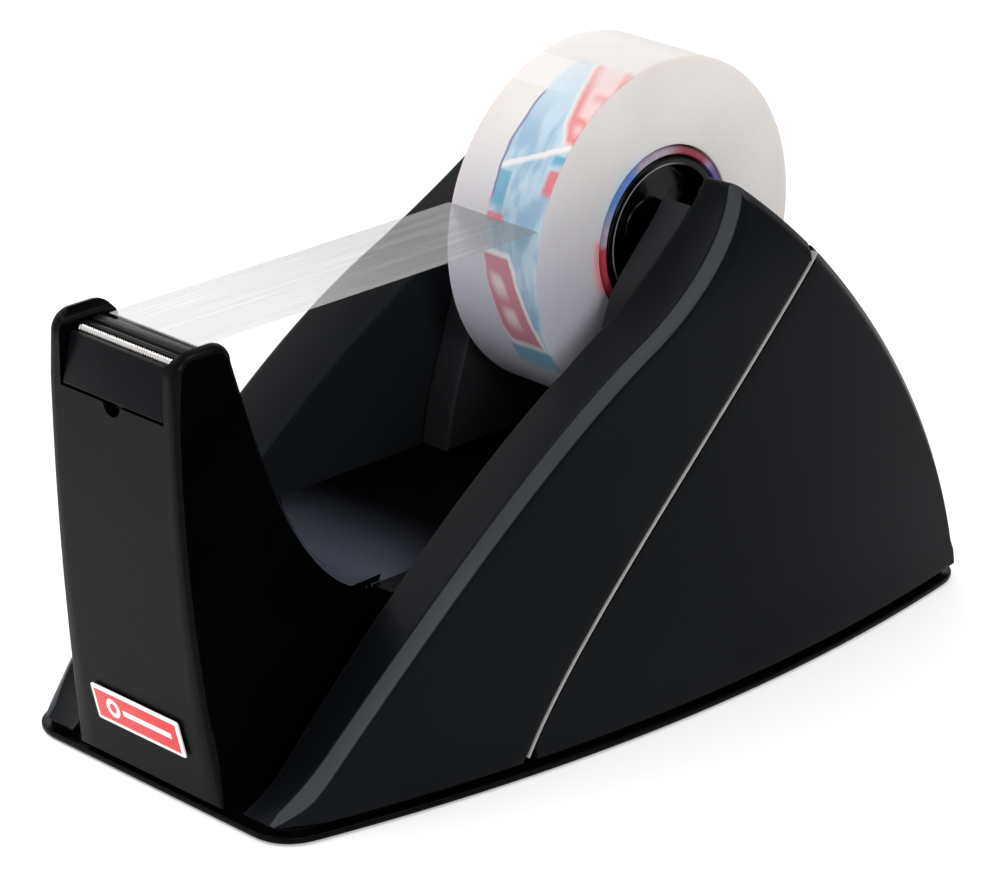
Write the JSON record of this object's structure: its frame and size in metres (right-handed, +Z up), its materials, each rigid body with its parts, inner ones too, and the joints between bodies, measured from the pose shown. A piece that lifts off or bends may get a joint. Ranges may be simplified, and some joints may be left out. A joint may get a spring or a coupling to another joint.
{
  "type": "desk tape dispenser",
  "caption": "Weighted desk tape dispenser: a cutter post in front, a trough between two bowed side walls, and a roll of matte tape on a hub whose axle rests in open slots.",
  "frame": {"origin": "centre of the footprint, on the surface the dispenser stands on", "axes": "+Z up, -Y towards the cutter, the roll's axle along X"},
  "size_m": [0.079, 0.1487, 0.0921],
  "materials": {
    "foam_rubber": "dense black foam rubber",
    "black_plastic": "satin black moulded plastic",
    "black_gloss_plastic": "smooth black moulded plastic",
    "cast_iron": "raw casting",
    "grey_trim": "light grey inlay",
    "badge_print": "printed plate with a plain pattern",
    "blade_steel": "bright stamped steel",
    "zinc_steel": "zinc plated",
    "core_plastic": "printed core",
    "matte_film": "matte translucent film"
  },
  "bodies": {
    "dispenser": {"anti_slip_pad": "foam_rubber", "base_tray": "black_plastic", "base_screw_1": "zinc_steel", "base_screw_2": "zinc_steel", "base_screw_3": "zinc_steel", "base_screw_4": "zinc_steel", "ballast_weight": "cast_iron", "centre_body": "black_plastic", "left_side_wall": "black_plastic", "right_side_wall": "black_plastic", "left_side_cover": "black_plastic", "right_side_cover": "black_plastic", "left_trim_strip": "grey_trim", "right_trim_strip": "grey_trim", "left_axle_support": "black_plastic", "right_axle_support": "black_plastic", "front_badge": "badge_print", "cutter_holder": "black_gloss_plastic", "cutter_blade": "blade_steel"},
    "axle_carrier": {"roll_axle": "black_gloss_plastic", "tape_strip": "matte_film"},
    "spool": {"hub_left_half": "black_gloss_plastic", "hub_right_half": "black_gloss_plastic", "tape_core": "core_plastic", "tape_roll": "matte_film"}
  },
  "joints": [
    {"name": "spool_lift", "type": "slide", "parent": "dispenser", "child": "axle_carrier", "axis": [0, 0, 1], "range_m": [0, 0.03]},
    {"name": "roll_spin", "type": "hinge", "parent": "axle_carrier", "child": "spool", "pos_m": [0, 0.0284, 0.064], "axis": [1, 0, 0], "continuous": true}
  ]
}
